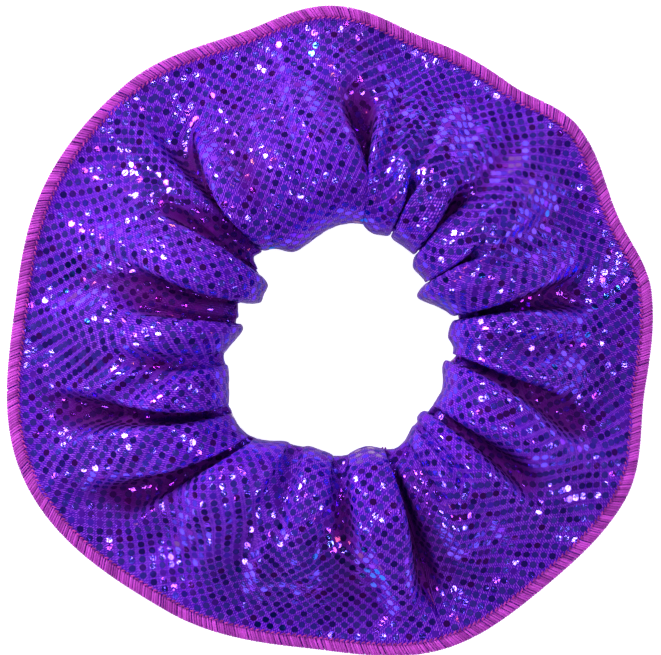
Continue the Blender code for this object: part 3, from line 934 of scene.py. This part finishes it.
def foil_material():
    """Mirror foil dots: mostly indigo, some that flash orange, pink or cyan, each crinkled and tipped, and
    darkened with painted shade in the folds and beside the hole.
    """
    n = Nodes("holographic_foil")
    chance = n.attribute("chance")
    colour = n.ramp(chance, (
        (0.0, (0.13, 0.070, 0.90)), (0.33, (0.06, 0.026, 0.46)), (0.56, (0.17, 0.085, 0.93)),
        (0.80, (0.20, 0.035, 0.78)), (0.91, (0.13, 0.015, 0.34)), (FLASHES_FROM, (0.05, 0.014, 0.42)),
        (0.978, (0.07, 0.010, 0.36)), (0.992, (0.04, 0.13, 0.80))), "CONSTANT")
    metal = n.ramp(chance, (
        (0.0, (0.82, 0.82, 0.82)), (FLASHES_FROM, (0.0, 0.0, 0.0)), (0.992, (1.0, 1.0, 1.0))), "CONSTANT")
    tint = n.ramp(chance, (
        (0.0, (0.22, 0.03, 0.42)), (FLASHES_FROM, (1.0, 0.16, 0.06)), (0.978, (1.0, 0.09, 0.30)),
        (0.992, (0.20, 0.60, 1.0))), "CONSTANT")
    # Painted shade: deep in the folds and beside the hole the dots' colour goes towards dark wine.
    shaded = n.mix(n.math("MULTIPLY", n.attribute("painted_fold_shade"), 0.75), colour, (0.16, 0.004, 0.20))
    n.join(shaded, n.shader.inputs["Base Color"])
    n.join(metal, n.shader.inputs["Metallic"])
    n.join(tint, n.shader.inputs["Specular Tint"])
    n.set(Roughness=0.14, Specular_IOR_Level=1.0)
    crinkled = n.bump(n.noise(1500.0, 1.0), 0.35, 0.15 * MM)
    tilt = n.vector("SCALE", n.attribute("tilt", "Vector"), scale=0.050)
    n.join(n.vector("NORMALIZE", n.vector("ADD", crinkled, tilt)), n.shader.inputs["Normal"])
    return n.material


def thread_material(name, dark, light, pitch):
    """Soft textured nylon thread: fine twisted filaments, and a little difference from stitch to stitch."""
    n = Nodes(name)
    fibre = n.noise(1 / pitch, 2.0)
    shade = n.math("MULTIPLY", n.attribute("chance"), 0.4)
    mixed = n.math("ADD", n.math("MULTIPLY", fibre, 0.75), shade)
    n.join(n.ramp(mixed, ((0.28, dark), (0.82, light))), n.shader.inputs["Base Color"])
    n.set(Roughness=0.5, Sheen_Weight=0.1, Sheen_Roughness=0.35, Specular_IOR_Level=0.3)
    n.join(n.bump(fibre, 0.6, 0.08 * MM), n.shader.inputs["Normal"])
    return n.material


def braid_material():
    """White braided yarn: slanting stitches that mirror each other across each rib."""
    n = Nodes("white_braid")
    place, girth = n.uv_places("braid")
    yarn_pitch = 0.8 * MM
    fold = n.math("PINGPONG", girth, CORD_PITCH * MM / 2)
    slanting = n.math("ADD", place, n.math("MULTIPLY", fold, 1.2))
    yarn = n.math("SINE", n.math("MULTIPLY", slanting, 2 * math.pi / yarn_pitch))
    colour = n.ramp(yarn, ((0.0, (0.62, 0.61, 0.58)), (0.6, (0.86, 0.86, 0.84))))
    n.join(colour, n.shader.inputs["Base Color"])
    n.set(Roughness=0.8)
    n.join(n.bump(yarn, 0.7, 0.1 * MM), n.shader.inputs["Normal"])
    return n.material


def rubber_material():
    """Natural latex, with a pale bloom."""
    n = Nodes("natural_latex")
    bloom = n.noise(900.0, 3.0)
    colour = n.ramp(bloom, ((0.35, (0.55, 0.44, 0.28)), (0.7, (0.74, 0.66, 0.50))))
    n.join(colour, n.shader.inputs["Base Color"])
    n.set(Roughness=0.6)
    n.join(n.bump(bloom, 0.3, 0.03 * MM), n.shader.inputs["Normal"])
    return n.material


# ---------------------------------------------------------------- studio


def floor():
    """A pale plain sweep, far wider than the view."""
    bpy.ops.mesh.primitive_plane_add(size=6.0, location=(0.0, 0.0, -0.0002))
    made = bpy.context.object
    made.name = "studio_floor"
    n = Nodes("pale_floor")
    n.set(Base_Color=(0.92, 0.92, 0.93, 1.0), Roughness=0.9)
    n.set(Emission_Color=(1.0, 1.0, 1.0, 1.0), Emission_Strength=0.85)
    made.data.materials.append(n.material)


def lamp(name, place, size, power, colour):
    """A square soft light aimed at the middle of the scrunchie."""
    data = bpy.data.lights.new(name, "AREA")
    data.size = size
    data.energy = power
    data.color = colour
    made = bpy.data.objects.new(name, data)
    made.location = place
    made.rotation_euler = Vector(place).to_track_quat("Z", "Y").to_euler()
    bpy.context.scene.collection.objects.link(made)


def studio():
    """The floor, the lamps, and a dim violet air for the foil to mirror."""
    scene = bpy.context.scene
    scene.view_settings.view_transform = "Standard"
    scene.world = bpy.data.worlds.new("studio_air")
    scene.world.use_nodes = True
    air = scene.world.node_tree.nodes["Background"]
    air.inputs["Color"].default_value = (0.55, 0.30, 1.0, 1.0)
    air.inputs["Strength"].default_value = 0.08
    floor()
    for values in LAMPS:
        lamp(*values)


def camera():
    """Looking straight down, from far enough that the rim and the hole keep their proportions."""
    data = bpy.data.cameras.new("camera")
    data.lens = LENS
    data.sensor_width = SENSOR
    made = bpy.data.objects.new("camera", data)
    height = VIEW_WIDTH * LENS / SENSOR + RIM_HEIGHT * MM
    made.location = (AXIS[0] * MM, AXIS[1] * MM, height)
    bpy.context.scene.collection.objects.link(made)
    bpy.context.scene.camera = made


def main():
    camera()
    studio()
    points, shares = sleeve_grid()
    normals = grid_normals(points)
    places = cloth_places(points, shares)
    painted_fold_shade = painted_fold_shade_at(points)
    rose = thread_material("rose_thread", (0.12, 0.003, 0.10), (0.80, 0.05, 0.50), 0.30 * MM)
    magenta = thread_material("magenta_thread", (0.26, 0.006, 0.28), (0.80, 0.075, 0.78), 0.16 * MM)
    white = thread_material("white_thread", (0.6, 0.6, 0.58), (0.9, 0.9, 0.9), 0.16 * MM)
    sleeve = build_sleeve(points, normals, places, painted_fold_shade, knit_material())
    dots = build_dots(points, normals, places, painted_fold_shade, foil_material())
    overlock = build_overlock(magenta, rose)
    seam = build_closing_seam(points, normals, magenta)
    build_elastic(braid_material(), rubber_material(), white)


main()
